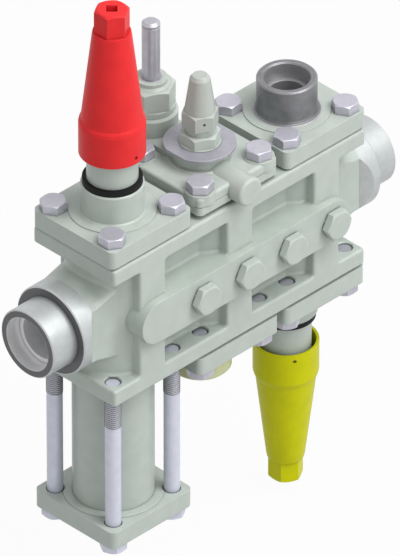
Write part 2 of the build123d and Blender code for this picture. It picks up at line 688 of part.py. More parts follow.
def filter_gaskets():
    """Gasket rings above and below the tube."""
    upper = tube(TUBE_R, TUBE_BORE, -TOP + TUBE_SINK - TUBE_GASKET_T, -TOP + TUBE_SINK)
    low = TUBE_END_Z - TUBE_SINK
    lower = tube(TUBE_R, TUBE_BORE, low, low + TUBE_GASKET_T)
    return Compound(children=[upper, lower])


def filter_flange():
    """Square end flange that closes the tube."""
    low = TUBE_END_Z - FLANGE_T
    shape = square_flange(FLANGE_W, FLANGE_R, low, TUBE_END_Z)
    shape = shape - tube(TUBE_R + FREE, TUBE_BORE - FREE, TUBE_END_Z - TUBE_SINK, TUBE_END_Z)
    return drill(shape, HOLE_R, low, TUBE_END_Z)


def filter_bolts():
    """Long screws that clamp the strainer to the body."""
    seat = -(TUBE_END_Z - FLANGE_T)
    return under(bolt_group(seat, (30, 0, 30, 0)))


def filter_basket():
    """Strainer insert with rims and a closed floor."""
    high = -PART_Z
    low = TUBE_END_Z
    shape = tube(BASKET_R, BASKET_R - BASKET_WALL, low, high)
    shape = shape + tube(BASKET_RIM_R, BASKET_R - BASKET_WALL, high - BASKET_RIM_T, high)
    middle = (low + high) / 2
    shape = shape + tube(HOOP_R, BASKET_R - BASKET_WALL, middle - HOOP_T / 2, middle + HOOP_T / 2)
    shape = shape + tube(HOOP_R, BASKET_R - BASKET_WALL, low, low + BASKET_RIM_T)
    return shape + rod(BASKET_R, low, low + BASKET_FLOOR_T)


def servo_gasket():
    """Gasket under the sleeve collar and gasket between plate and cover."""
    lower = tube(GASKET_R, CHAMBER_R + FIT, TOP, FLANGE_Z)
    upper = square_flange(PLATE_W - 2 * COVER_GASKET_IN, PLATE_R, PLATE_TOP, COVER_Z)
    upper = drill(upper, HOLE_R, PLATE_TOP, COVER_Z) - rod(PLATE_BORE, PLATE_TOP, COVER_Z)
    return Compound(children=[lower, upper])


def servo_sleeve():
    """Sleeve that guides the servo piston."""
    shape = rod(CHAMBER_R - FIT, SLEEVE_Z, FLANGE_Z) + rod(SLEEVE_COLLAR_R, FLANGE_Z, PLATE_Z)
    return shape - rod(PISTON_R + FIT, SLEEVE_Z, PLATE_Z)


def servo_plate():
    """Lower plate of the solenoid module."""
    shape = square_flange(PLATE_W, PLATE_R, PLATE_Z, PLATE_TOP)
    shape = shape - rod(PLATE_BORE, PLATE_Z, PLATE_TOP)
    return drill(shape, HOLE_R, PLATE_Z, PLATE_TOP)


def servo_piston():
    """Servo piston with its stem and valve plate, closed on the seat."""
    shape = rod(PISTON_R, PISTON_LOW, PISTON_TOP)
    shape = shape - rod(PISTON_BORE, PISTON_LOW + PISTON_WALL, PISTON_TOP - PISTON_WALL)
    shape = shape - rod(MSTEM_R + FREE, PISTON_TOP - PISTON_WALL, PISTON_TOP)
    seat = -SEAT_Z + TOUCH
    shape = shape + rod(PISTON_STEM_R, seat + PLUG_T, PISTON_LOW)
    back = seat + PLUG_T
    return shape + lathe((0, seat), (PLUG_R - BREAK, seat), (PLUG_R, seat + BREAK),
                         (PLUG_R, back - PLUG_BEVEL), (PLUG_R - PLUG_BEVEL, back), (0, back))


def servo_cover():
    """Cast cover with the pilot boss, the pilot channel and the stem pillar."""
    shape = square_flange(PLATE_W, PLATE_R, COVER_Z, COVER_TOP)
    shape = fillet(shape.faces().sort_by(Axis.Z)[-1].edges(), ROOT_R)
    for sx, sy in CORNERS:
        shape = shape + Pos(sx * BOLT_AT, sy * BOLT_AT, 0) * rod(PAD_R, COVER_Z, COVER_TOP + PAD_H)
    hub = lathe((0, COVER_Z), (HUB_BIG_R, COVER_Z), (HUB_BIG_R, COVER_TOP), (HUB_MID_R, HUB_Z - HUB_ROUND_H),
                (HUB_R, HUB_Z), (PILLAR_R, HUB_Z), (PILLAR_R, PILLAR_Z), (0, PILLAR_Z))
    bulge = y_rod(BULGE_R, -BULGE_Y, 0, 0, BULGE_Z)
    bulge = fillet(bulge.faces().sort_by(Axis.Y)[0].edges(), BULGE_ROUND)
    bulge = bulge - block(-BULGE_R, BULGE_R, -PLATE_W / 2 - FREE, 0, BULGE_Z - BULGE_R, COVER_Z)
    foot_r = PILOT_R - PILOT_ROUND
    boss = lathe((0, PILOT_LOW_Z), (foot_r, PILOT_LOW_Z), (PILOT_R, PILOT_LOW_Z + PILOT_ROUND),
                 (PILOT_R, PILOT_Z - PILOT_ROUND), (foot_r, PILOT_Z), (0, PILOT_Z))
    bridge = block(-foot_r, foot_r, 0, PILOT_Y, PILOT_LOW_Z, COVER_TOP + PILOT_BRIDGE_H)
    shape = shape + hub + bulge + Pos(0, PILOT_Y, 0) * boss + bridge
    shape = shape - rod(MSTEM_R + FIT, COVER_Z, PILLAR_Z)
    shape = shape - Pos(0, PILOT_Y, 0) * rod(PILOT_THREAD_R + FIT, PILOT_SPIGOT_Z, PILOT_Z)
    shape = shape - Pos(0, PILOT_Y, 0) * rod(ARM_TUBE_R + FREE, PILOT_BORE_Z, PILOT_SPIGOT_Z)
    level = COVER_TOP - BREAK
    shape = shape - Pos(0, PISTON_BORE, 0) * rod(PILOT_CHANNEL_R, COVER_Z, level)
    shape = shape - y_rod(PILOT_CHANNEL_R, PISTON_BORE, PILOT_Y, 0, level)
    shape = shape - Pos(0, PILOT_Y, 0) * rod(PILOT_CHANNEL_R, level, PILOT_BORE_Z)
    return drill(shape, HOLE_R, COVER_Z, COVER_TOP + PAD_H)


def stem_disc():
    """Flat disc under the stem nut, with two flats."""
    shape = rod(DISC_R, PILLAR_Z, PILLAR_Z + DISC_T)
    shape = shape & block(-DISC_FLAT, DISC_FLAT, -DISC_R, DISC_R, PILLAR_Z, PILLAR_Z + DISC_T)
    return shape - rod(MSTEM_R + FREE, PILLAR_Z, PILLAR_Z + DISC_T)


def stem_nut():
    """Hexagon nut that guides the manual stem and carries its cap."""
    low = PILLAR_Z + DISC_T
    shape = rod(NUT_FLANGE_R, low, low + NUT_FLANGE_T)
    shape = shape + hexagon(NUT_AF, low + NUT_FLANGE_T, NUT_TOP, NUT_TOP_R)
    shape = shape + rod(NUT_NECK_R, NUT_TOP, NUT_NECK_Z) + rod(NUT_THREAD_R, NUT_NECK_Z, NUT_THREAD_Z)
    return shape - rod(MSTEM_R + FIT, low, NUT_THREAD_Z)


def lift_collar():
    """Lifting collar on the foot of the manual stem, inside the servo piston."""
    top = PISTON_TOP - PISTON_WALL - MSTEM_LIFT - TOUCH
    return tube(COLLAR_R, MSTEM_FOOT_R + FIT, top - COLLAR_T, top)


def manual_stem():
    """Manual stem with a square top and a riveted foot that holds the collar."""
    top = PISTON_TOP - PISTON_WALL - MSTEM_LIFT - TOUCH
    low = top - COLLAR_T
    shape = rod(MSTEM_R, low - MSTEM_FOOT_T - TOUCH, low - TOUCH)
    shape = shape + rod(MSTEM_FOOT_R, low - TOUCH, top + TOUCH)
    shape = shape + rod(MSTEM_R, top + TOUCH, MSTEM_TOP - MSTEM_SQ_LEN)
    end = square_end(MSTEM_SQ, MSTEM_TOP - MSTEM_SQ_LEN, MSTEM_TOP)
    return shape + (end & rod(MSTEM_R, MSTEM_TOP - MSTEM_SQ_LEN, MSTEM_TOP))


def manual_cap():
    """Conical cap over the manual stem."""
    shape = hexagon(MCAP_AF, NUT_NECK_Z, MCAP_HEX_Z, MCAP_HEX_R)
    shape = shape + lathe((0, MCAP_HEX_Z), (MCAP_BASE_R, MCAP_HEX_Z), (MCAP_BASE_R, MCAP_HEX_Z + MCAP_BASE_H),
                          (MCAP_TIP_R, MCAP_TIP_Z), (MCAP_TOP_R, MCAP_TOP_Z), (0, MCAP_TOP_Z))
    roof = NUT_THREAD_Z + BREAK
    shape = shape - rod(NUT_THREAD_R + FREE, NUT_NECK_Z, roof)
    shape = shape - rod(MSTEM_R + 2 * FREE, roof, MSTEM_TOP + MSTEM_LIFT + BREAK)
    hole = x_rod(MCAP_HOLE_R, NUT_THREAD_R, MCAP_AF, 0, (NUT_NECK_Z + MCAP_HEX_Z) / 2)
    return shape - Rot(0, 0, MCAP_HOLE_AT) * hole


def pilot_nut():
    """Large hexagon that screws the armature tube to the pilot boss."""
    shape = rod(PILOT_THREAD_R, PILOT_SPIGOT_Z, PILOT_Z) + rod(PILOT_NUT_COLLAR_R, PILOT_Z, PILOT_NUT_LOW)
    hexa = hexagon(PILOT_NUT_AF, PILOT_NUT_LOW, PILOT_NUT_TOP, PILOT_NUT_TOP_R)
    ring = lathe((0, PILOT_NUT_TOP), (PILOT_NUT_RING_R + PILOT_ROUND, PILOT_NUT_TOP),
                 (PILOT_NUT_RING_R, PILOT_NUT_TOP + PILOT_ROUND), (PILOT_NUT_RING_R, PILOT_NUT_RING_Z),
                 (0, PILOT_NUT_RING_Z))
    return shape + hexa + ring - rod(ARM_ROOT_R + FIT, PILOT_SPIGOT_Z, PILOT_NUT_RING_Z)


def armature_tube():
    """Closed tube that guides the armature, with a thicker foot held by the nut."""
    low, high = ARM_TUBE_TOP - ARM_GROOVE[0], ARM_TUBE_TOP - ARM_GROOVE[1]
    flank = ARM_GROOVE_DEEP / 2
    groove_r = ARM_TUBE_R - ARM_GROOVE_DEEP
    shape = lathe((0, ARM_TUBE_LOW), (ARM_ROOT_R, ARM_TUBE_LOW), (ARM_ROOT_R, PILOT_NUT_RING_Z),
                  (ARM_TUBE_R, PILOT_NUT_RING_Z), (ARM_TUBE_R, low), (groove_r, low + flank),
                  (groove_r, high - flank), (ARM_TUBE_R, high), (ARM_TUBE_R, ARM_TUBE_TOP - ARM_TIP_H),
                  (ARM_TIP_R, ARM_TUBE_TOP), (0, ARM_TUBE_TOP))
    return shape - rod(ARM_TUBE_BORE, ARM_TUBE_LOW, ARM_TUBE_STOP)


def armature():
    """Armature with its pilot cone, closed on the pilot seat."""
    tip = PILOT_BORE_Z + TOUCH
    return lathe((0, tip), (ARM_CONE[0], tip), (ARM_CONE[1], ARM_LOW), (ARM_R, ARM_LOW + ARM_R - ARM_CONE[1]),
                 (ARM_R, ARM_TOP), (0, ARM_TOP))


def check_cover():
    """Flange of the check module with the stem guide, drawn on the top face."""
    shape = square_flange(FLANGE_W, FLANGE_R, FLANGE_Z, FLANGE_TOP)
    shape = shape + rod(CHAMBER_R - FIT, CHECK_SPIGOT_Z, FLANGE_Z)
    shape = shape - rod(CHECK_STEM_R + FIT, CHECK_SPIGOT_Z, FLANGE_TOP)
    shape = shape - rod(CHECK_CAP_THREAD_R + FIT, CHECK_CAP_THREAD_Z, FLANGE_TOP)
    return drill(shape, HOLE_R, FLANGE_Z, FLANGE_TOP)


def check_cap():
    """Round screwed cap over the stem guide."""
    shape = rod(CHECK_CAP_THREAD_R, CHECK_CAP_THREAD_Z, FLANGE_TOP)
    shape = shape + lathe((0, FLANGE_TOP), (CHECK_CAP_R, FLANGE_TOP),
                          (CHECK_CAP_R, CHECK_CAP_Z - CHECK_CAP_CHAMFER),
                          (CHECK_CAP_R - CHECK_CAP_CHAMFER, CHECK_CAP_Z), (0, CHECK_CAP_Z))
    return shape - rod(CHECK_STEM_R + CHECK_CAP_FREE, CHECK_CAP_THREAD_Z, CHECK_CAP_Z - CHECK_CAP_ROOF)


def check_cone():
    """Check cone on its guided stem, closed against the underside seat."""
    high = -PART_Z - LIP_H - TOUCH
    low = high - CHECK_T
    shape = lathe((0, high), (CHECK_R, high), (CHECK_R, low + BREAK), (CHECK_R - BREAK, low), (0, low))
    return shape + rod(CHECK_STEM_R, CHECK_STEM_END, low)


def branch_flange():
    """Flange that carries the weld neck of the top branch."""
    shape = square_flange(FLANGE_W, FLANGE_R, FLANGE_Z, FLANGE_TOP)
    shape = shape + rod(CHAMBER_R - FIT, CHECK_SPIGOT_Z, FLANGE_Z)
    shape = shape + rod(STEP_R, FLANGE_TOP, FLANGE_TOP + STEP_H)
    shape = shape - rod(BRANCH_BORE, CHECK_SPIGOT_Z, BRANCH_SEAT_Z)
    shape = shape - rod(BRANCH_R + FIT, BRANCH_SEAT_Z, FLANGE_TOP + STEP_H)
    return drill(shape, HOLE_R, FLANGE_Z, FLANGE_TOP + STEP_H)


def branch_neck():
    """Weld neck of the top branch with its pipe seat."""
    root = FLANGE_TOP + STEP_H
    seat = BRANCH_TOP - BRANCH_SOCKET_DEPTH
    return lathe((BRANCH_BORE, BRANCH_SEAT_Z), (BRANCH_R, BRANCH_SEAT_Z), (BRANCH_R, root),
                 (BRANCH_ROOT_R, root), (BRANCH_BEAD_R, root + BRANCH_BEAD_H[0]),
                 (BRANCH_R, root + BRANCH_BEAD_H[1]), (BRANCH_R, BRANCH_TOP - BREAK),
                 (BRANCH_R - BREAK, BRANCH_TOP), (BRANCH_SOCKET_R + BREAK, BRANCH_TOP),
                 (BRANCH_SOCKET_R, BRANCH_TOP - BREAK), (BRANCH_SOCKET_R, seat), (BRANCH_BORE, seat))


def at1(shape):
    return Pos(X1, 0, 0) * shape


def at2(shape):
    return Pos(X2, 0, 0) * shape


def at3(shape):
    return Pos(X3, 0, 0) * shape


def plug_seal():
    """Seal washer under a side plug."""
    return tube(PLUG_SEAL_R, PLUG_THREAD_R + FIT, 0, PLUG_SEAL_T)


def servo_spring():
    return helix_spring(*SERVO_SPRING, PISTON_TOP, COVER_Z)


def armature_spring():
    return helix_spring(*ARM_SPRING, ARM_TOP, ARM_TUBE_STOP)


def check_spring():
    high = -PART_Z - LIP_H - TOUCH - CHECK_T
    return helix_spring(*CHECK_SPRING, -CHECK_SPIGOT_Z, high)


def stop_parts(name, place, hole_angle, turns):
    """All pieces of one stop valve, placed by the given function."""
    return {
        name + "_cover": place(stop_cover()),
        name + "_gasket": place(stop_gasket()),
        name + "_bolts": place(bolt_group(FLANGE_TOP, turns)),
        name + "_spindle": place(stop_spindle()),
        name + "_cone": place(stop_cone()),
        name + "_cone_ring": place(stop_cone_ring()),
        name + "_cone_nut": place(stop_cone_nut()),
        name + "_packing": place(stop_packing()),
        name + "_gland": place(stop_gland()),
        name + "_dust_seal": place(dust_seal()),
        name + "_cap": place(stop_cap(hole_angle)),
        name + "_cap_seal": place(cap_seal()),
    }


def all_parts():
    """Every piece of the station by node name."""
    parts = {
        "station_body": station_body(),
        "inlet_socket": socket(),
        "outlet_socket": mirrored_x(socket()),
        "side_port_plugs": on_rail(side_plug()),
        "side_port_seals": on_rail(plug_seal()),
        "filter_tube": at1(filter_tube()),
        "filter_gaskets": at1(filter_gaskets()),
        "filter_end_flange": at1(filter_flange()),
        "filter_bolts": at1(filter_bolts()),
        "filter_basket": at1(filter_basket()),
        "servo_gaskets": at2(servo_gasket()),
        "servo_sleeve": at2(servo_sleeve()),
        "servo_plate": at2(servo_plate()),
        "servo_cover": at2(servo_cover()),
        "servo_bolts": at2(bolt_group(COVER_TOP + PAD_H, (15, 45, 0, 0))),
        "servo_piston": at2(servo_piston()),
        "servo_spring": at2(servo_spring()),
        "stem_disc": at2(stem_disc()),
        "stem_nut": at2(stem_nut()),
        "manual_stem": at2(manual_stem()),
        "manual_lift_collar": at2(lift_collar()),
        "manual_stem_cap": at2(manual_cap()),
        "pilot_nut": at2(Pos(0, PILOT_Y, 0) * pilot_nut()),
        "armature_tube": at2(Pos(0, PILOT_Y, 0) * armature_tube()),
        "armature": at2(Pos(0, PILOT_Y, 0) * armature()),
        "armature_spring": at2(Pos(0, PILOT_Y, 0) * armature_spring()),
        "check_cover": at2(under(check_cover())),
        "check_gasket": at2(under(stop_gasket())),
        "check_bolts": at2(under(bolt_group(FLANGE_TOP, (0, 0, 0, 0)))),
        "check_guide_cap": at2(under(check_cap())),
        "check_cone": at2(check_cone()),
        "check_spring": at2(check_spring()),
        "branch_flange": at3(branch_flange()),
        "branch_weld_neck": at3(branch_neck()),
        "branch_gasket": at3(stop_gasket()),
        "branch_bolts": at3(bolt_group(FLANGE_TOP, (30, 0, 0, 0))),
    }
    parts.update(stop_parts("inlet_stop", at1, SEAL_HOLE_AT[0], (30, 0, 0, 0)))
    parts.update(stop_parts("outlet_stop", lambda s: at3(under(s)), -SEAL_HOLE_AT[1], (0, 0, 0, 30)))
    return parts


os.makedirs("parts", exist_ok=True)
for node, shape in all_parts().items():
    export_step(shape, "parts/" + node + ".step")
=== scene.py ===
import bpy
import json
import math
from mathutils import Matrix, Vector


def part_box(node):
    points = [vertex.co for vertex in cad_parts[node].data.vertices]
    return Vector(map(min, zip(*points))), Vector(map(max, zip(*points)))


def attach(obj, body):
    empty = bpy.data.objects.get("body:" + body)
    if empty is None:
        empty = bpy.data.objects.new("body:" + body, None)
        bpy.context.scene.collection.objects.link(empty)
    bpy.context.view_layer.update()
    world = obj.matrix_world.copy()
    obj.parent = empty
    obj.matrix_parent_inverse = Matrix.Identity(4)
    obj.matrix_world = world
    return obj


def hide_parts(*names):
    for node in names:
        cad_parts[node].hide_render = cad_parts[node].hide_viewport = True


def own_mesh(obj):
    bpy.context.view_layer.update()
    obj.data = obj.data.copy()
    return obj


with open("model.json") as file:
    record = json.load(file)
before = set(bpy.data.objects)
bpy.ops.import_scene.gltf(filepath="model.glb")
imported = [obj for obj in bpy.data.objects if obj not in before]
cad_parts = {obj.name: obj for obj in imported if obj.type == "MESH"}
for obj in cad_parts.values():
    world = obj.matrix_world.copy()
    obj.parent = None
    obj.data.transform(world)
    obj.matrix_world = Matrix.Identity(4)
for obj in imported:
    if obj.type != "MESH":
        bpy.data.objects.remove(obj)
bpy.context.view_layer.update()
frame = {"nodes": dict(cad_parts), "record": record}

# Measures of the station, in metres
AXIS_1, AXIS_2, AXIS_3 = 0.0865, 0.1755, 0.2645
PILOT_AXIS_Y = 0.050
SOCKET_BORE = 0.0214      # everything inside this radius belongs to a socket's bore
WELD_BORE = 0.0171
BOLT_SQUARE = 0.030       # screw distance from a module axis, in X and in Y

# Thread of the long screws
ROD_RADIUS = 0.006
THREAD_START_Z = -0.0615  # just under the body
THREAD_END_Z = -0.0865
THREAD_PITCH = 0.00175
THREAD_CREST = 0.00032
THREAD_SINK = 0.0001      # a ridge's foot lies this deep in the screw
THREAD_FORM = ((0.0, -THREAD_SINK), (0.28, THREAD_CREST), (0.58, THREAD_CREST), (0.86, -THREAD_SINK))

# Low step round the strainer tube on its end flange
STEP_RADIUS = 0.0372
STEP_BORE = 0.0302
STEP_HEIGHT = 0.0008
STEP_CHAMFER = 0.25 * STEP_HEIGHT
SCREW_CLEARANCE = 0.0070  # the step stays this far from a screw's axis

SMOOTH_ANGLE = math.radians(35.0)

# Edges and grain of the finishes, in metres: width of the lighter edge, partly wear and partly a painted
# highlight, radius of the edge in the shading, height of the grain
EDGE_RAYS = 6
PAINT_WEAR_AND_HIGHLIGHT, PAINT_ROUND, PAINT_GRAIN = 0.0009, 0.0006, 0.00012
CAP_PAINT_GRAIN = 0.00004
METAL_WEAR_AND_HIGHLIGHT, METAL_ROUND, TOOL_MARK = 0.0006, 0.0004, 0.00002
ENAMEL_WEAR_AND_HIGHLIGHT, ENAMEL_ROUND, ENAMEL_GRAIN = 0.0008, 0.0006, 0.00006
MOULDED_GRAIN = 0.00005
GAUZE_RELIEF = 0.0003

# View of the photograph
PHOTO_SCALE = 1380.0      # pixels per metre across the view
PHOTO_SIZE = (400, 556)
PHOTO_DROP = 0.0240       # the picture's middle lies this far below the flow axis
VIEW_AZIMUTH = math.radians(-45.0)
VIEW_ELEVATION = math.radians(35.264)
LENS = 1100.0
SENSOR = 36.0

# Studio; a lamp has its place from the station's middle, its side in metres and its power in watts
FLOOR_Z = -0.262
FLOOR_REACH = 30.0
FLOOR_WHITE = 0.96        # how much of the floor the camera sees as white; the rest keeps the shadow
WORLD_LIGHT = 0.6
LAMPS = {
    "key": ((0.8, -2.0, 2.0), 1.4, 25),
    "top": ((0.4, -1.1, 2.5), 1.6, 41),
    "front_fill": ((-0.3, -2.6, 0.5), 2.0, 8),
}


# Shader node helpers

def srgb(code):
    """Linear colour of a hex code such as b2bab2."""
    values = [int(code[i:i + 2], 16) / 255 for i in (0, 2, 4)]
    linear = [v / 12.92 if v <= 0.04045 else ((v + 0.055) / 1.055) ** 2.4 for v in values]
    return (*linear, 1.0)


def add(tree, kind, settings=None, **inputs):
    """Adds a node; an input goes by its name, with _ for a space, or by its number, as in i0."""
    node = tree.nodes.new(kind)
    for key, value in (settings or {}).items():
        setattr(node, key, value)
    for key, value in inputs.items():
        numbered = key[0] == "i" and key[1:].isdigit()
        socket = node.inputs[int(key[1:]) if numbered else key.replace("_", " ")]
        if isinstance(value, bpy.types.NodeSocket):
            tree.links.new(value, socket)
        else:
            socket.default_value = value
    return node


def calc(tree, operation, *values, clamp=False):
    """Result of one math node."""
    numbered = {f"i{k}": value for k, value in enumerate(values)}
    return add(tree, "ShaderNodeMath", {"operation": operation, "use_clamp": clamp}, **numbered).outputs[0]


def ramp(tree, value, start=0.0, end=1.0, low=0.0, high=1.0):
    """Maps start to end onto low to high."""
    return add(tree, "ShaderNodeMapRange", None, Value=value, i1=start, i2=end, i3=low, i4=high).outputs[0]


def object_place(tree):
    """Place of the shaded point in the object."""
    return add(tree, "ShaderNodeTexCoord").outputs["Object"]


def mix_color(tree, factor, a, b, blend="MIX"):
    """Colour between a and b, each a socket or a hex code."""
    a, b = (srgb(value) if isinstance(value, str) else value for value in (a, b))
    node = add(tree, "ShaderNodeMix", {"data_type": "RGBA", "blend_type": blend}, Factor=factor, i6=a, i7=b)
    return node.outputs[2]


def new_group(name, inputs, outputs):
    """An empty shader group with named float sockets."""
    tree = bpy.data.node_groups.new(name, "ShaderNodeTree")
    for label, value in inputs.items():
        socket = tree.interface.new_socket(name=label, in_out="INPUT", socket_type="NodeSocketFloat")
        socket.default_value = value
    for label in outputs:
        tree.interface.new_socket(name=label, in_out="OUTPUT", socket_type="NodeSocketFloat")
    return tree, tree.nodes.new("NodeGroupInput").outputs, tree.nodes.new("NodeGroupOutput").inputs


# Shared effects

def make_edge_mask():
    """Mask that is 1 on outer and inner edges: how far a rounded normal leans from the true one."""
    tree, given, result = new_group("edge_mask", {"Radius": 0.0008, "Gain": 4.0}, ["Mask"])
    bevel = add(tree, "ShaderNodeBevel", {"samples": EDGE_RAYS}, Radius=given["Radius"])
    geometry = add(tree, "ShaderNodeNewGeometry")
    same = add(tree, "ShaderNodeVectorMath", {"operation": "DOT_PRODUCT"},
               i0=bevel.outputs[0], i1=geometry.outputs["Normal"])
    lean = calc(tree, "SUBTRACT", 1.0, same.outputs["Value"])
    tree.links.new(calc(tree, "MULTIPLY", lean, given["Gain"], clamp=True), result["Mask"])
    return tree


def make_painted_shade_mask():
    """Painted shade mask: 1 in the open, falling in corners and gaps, a narrow dark band of painted shade
    within a broad soft one.
    """
    tree, given, result = new_group("painted_shade_mask", {"Seam": 0.0013, "Reach": 0.005, "Depth": 0.5}, ["Mask"])
    shades = []
    # each reach darkens the colour as painted shade, the narrow one fully, the broad one by 0.35
    for width, share in (("Seam", 1.0), ("Reach", 0.35)):
        near = add(tree, "ShaderNodeAmbientOcclusion", {"samples": EDGE_RAYS}, Distance=given[width])
        closed = ramp(tree, near.outputs["AO"], 0.3, 0.95, share, 0.0)
        shades.append(calc(tree, "SUBTRACT", 1.0, calc(tree, "MULTIPLY", closed, given["Depth"])))
    tree.links.new(calc(tree, "MULTIPLY", *shades), result["Mask"])
    return tree


def make_cast_grain():
    """Sand-cast skin under paint: fine grain, soft waviness and a broad change of tone."""
    tree, given, result = new_group("cast_grain", {"Grain Scale": 900.0, "Wave Scale": 90.0},
                                    ["Height", "Tone"])
    place = object_place(tree)
    fine = add(tree, "ShaderNodeTexNoise", None, Vector=place, Scale=given["Grain Scale"], Detail=4.0,
               Roughness=0.65)
    wave = add(tree, "ShaderNodeTexNoise", None, Vector=place, Scale=given["Wave Scale"], Detail=2.0,
               Roughness=0.5)
    pits = add(tree, "ShaderNodeTexVoronoi", {"feature": "SMOOTH_F1"}, Vector=place,
               Scale=given["Grain Scale"])
    dents = ramp(tree, pits.outputs["Distance"], 0.0, 0.35)
    mixed = calc(tree, "MULTIPLY_ADD", wave.outputs["Fac"], 0.8, fine.outputs["Fac"])
    tree.links.new(calc(tree, "MULTIPLY_ADD", dents, 0.35, mixed), result["Height"])
    tree.links.new(ramp(tree, wave.outputs["Fac"], 0.3, 0.7), result["Tone"])
    return tree


def make_tool_lines():
    """Fine rings left by a turning tool; Along is the way the tool has gone."""
    tree, given, result = new_group("tool_lines", {"Along": 0.0, "Pitch": 0.00025}, ["Height", "Tone"])
    steps = calc(tree, "DIVIDE", given["Along"], given["Pitch"])
    rings = add(tree, "ShaderNodeTexNoise", {"noise_dimensions": "1D"}, W=steps, Scale=1.0, Detail=3.0,
                Roughness=0.7)
    smear = add(tree, "ShaderNodeTexNoise", None, Vector=object_place(tree), Scale=160.0, Detail=2.0)
    tone = calc(tree, "MULTIPLY", rings.outputs["Fac"], smear.outputs["Fac"])
    tree.links.new(rings.outputs["Fac"], result["Height"])
    tree.links.new(ramp(tree, tone, 0.12, 0.4), result["Tone"])
    return tree


EDGE_MASK = make_edge_mask()
# mask of the painted shade in corners and gaps
PAINTED_SHADE_MASK = make_painted_shade_mask()
CAST_GRAIN = make_cast_grain()
TOOL_LINES = make_tool_lines()


def use(tree, group, **inputs):
    """Outputs of a shared group placed in a material."""
    return add(tree, "ShaderNodeGroup", {"node_tree": group}, **inputs).outputs


# Materials

def blank(name):
    """A new material with its shader and output."""
    material = bpy.data.materials.new(name)
    material.use_nodes = True
    tree = material.node_tree
    tree.nodes.clear()
    shader = tree.nodes.new("ShaderNodeBsdfPrincipled")
    add(tree, "ShaderNodeOutputMaterial", None, i0=shader.outputs[0])
    return material, tree, shader


def shaded(tree, colour, depth=0.5):
    """Colour darkened by painted shade in corners and gaps."""
    crease = use(tree, PAINTED_SHADE_MASK, Depth=depth)["Mask"]
    grey = add(tree, "ShaderNodeCombineColor", None, Red=crease, Green=crease, Blue=crease)
    return mix_color(tree, 1.0, colour, grey.outputs[0], "MULTIPLY")


def colour_and_gloss(tree, shader, colour, tone, rough_low, rough_high):
    """Links a colour, and a roughness that goes from low to high with the tone."""
    tree.links.new(colour, shader.inputs["Base Color"])
    tree.links.new(ramp(tree, tone, low=rough_low, high=rough_high), shader.inputs["Roughness"])


def relief(tree, shader, height, strength, distance, rounding=None):
    """Bump over edges that are rounded in the shading alone."""
    bump = add(tree, "ShaderNodeBump", None, Strength=strength, Distance=distance, Height=height)
    if rounding:
        soft = add(tree, "ShaderNodeBevel", {"samples": EDGE_RAYS}, Radius=rounding)
        tree.links.new(soft.outputs[0], bump.inputs["Normal"])
    tree.links.new(bump.outputs[0], shader.inputs["Normal"])


def painted_cast(name, base, dark, light, rough=0.42, grain=PAINT_GRAIN, depth=0.35):
    """Satin paint over a casting, thinner and lighter on its edges, partly as paint wear and partly as a
    painted highlight; depth is how dark the painted shade in its corners and gaps is.
    """
    material, tree, shader = blank(name)
    skin = use(tree, CAST_GRAIN)
    edge = use(tree, EDGE_MASK, Radius=PAINT_WEAR_AND_HIGHLIGHT, Gain=5.0)["Mask"]
    body = mix_color(tree, skin["Tone"], dark, base)
    # lighter edges: partly paint wear, partly a painted highlight
    worn_and_highlit = mix_color(tree, ramp(tree, edge, high=0.7), body, light)
    # painted shade darkens corners and gaps
    colour_and_gloss(tree, shader, shaded(tree, worn_and_highlit, depth), skin["Tone"], rough - 0.06, rough + 0.06)
    relief(tree, shader, skin["Height"], 0.5, grain, PAINT_ROUND)
    shader.inputs["Coat Weight"].default_value = 0.15
    shader.inputs["Coat Roughness"].default_value = 0.25
    return material


def tool_path(tree, axis, centre):
    """Way of a turning tool, along the axis and outward from it, and the distance from the axis."""
    place = object_place(tree)
    along = add(tree, "ShaderNodeSeparateXYZ", None, Vector=place).outputs[axis]
    if centre is None:
        return along, None
    across = tuple(0.0 if letter == axis else 1.0 for letter in "XYZ")
    offset = add(tree, "ShaderNodeVectorMath", {"operation": "SUBTRACT"}, i0=place, i1=centre)
    flat = add(tree, "ShaderNodeVectorMath", {"operation": "MULTIPLY"}, i0=offset.outputs[0], i1=across)
    radius = add(tree, "ShaderNodeVectorMath", {"operation": "LENGTH"}, i0=flat.outputs[0]).outputs["Value"]
    return calc(tree, "ADD", along, radius), radius


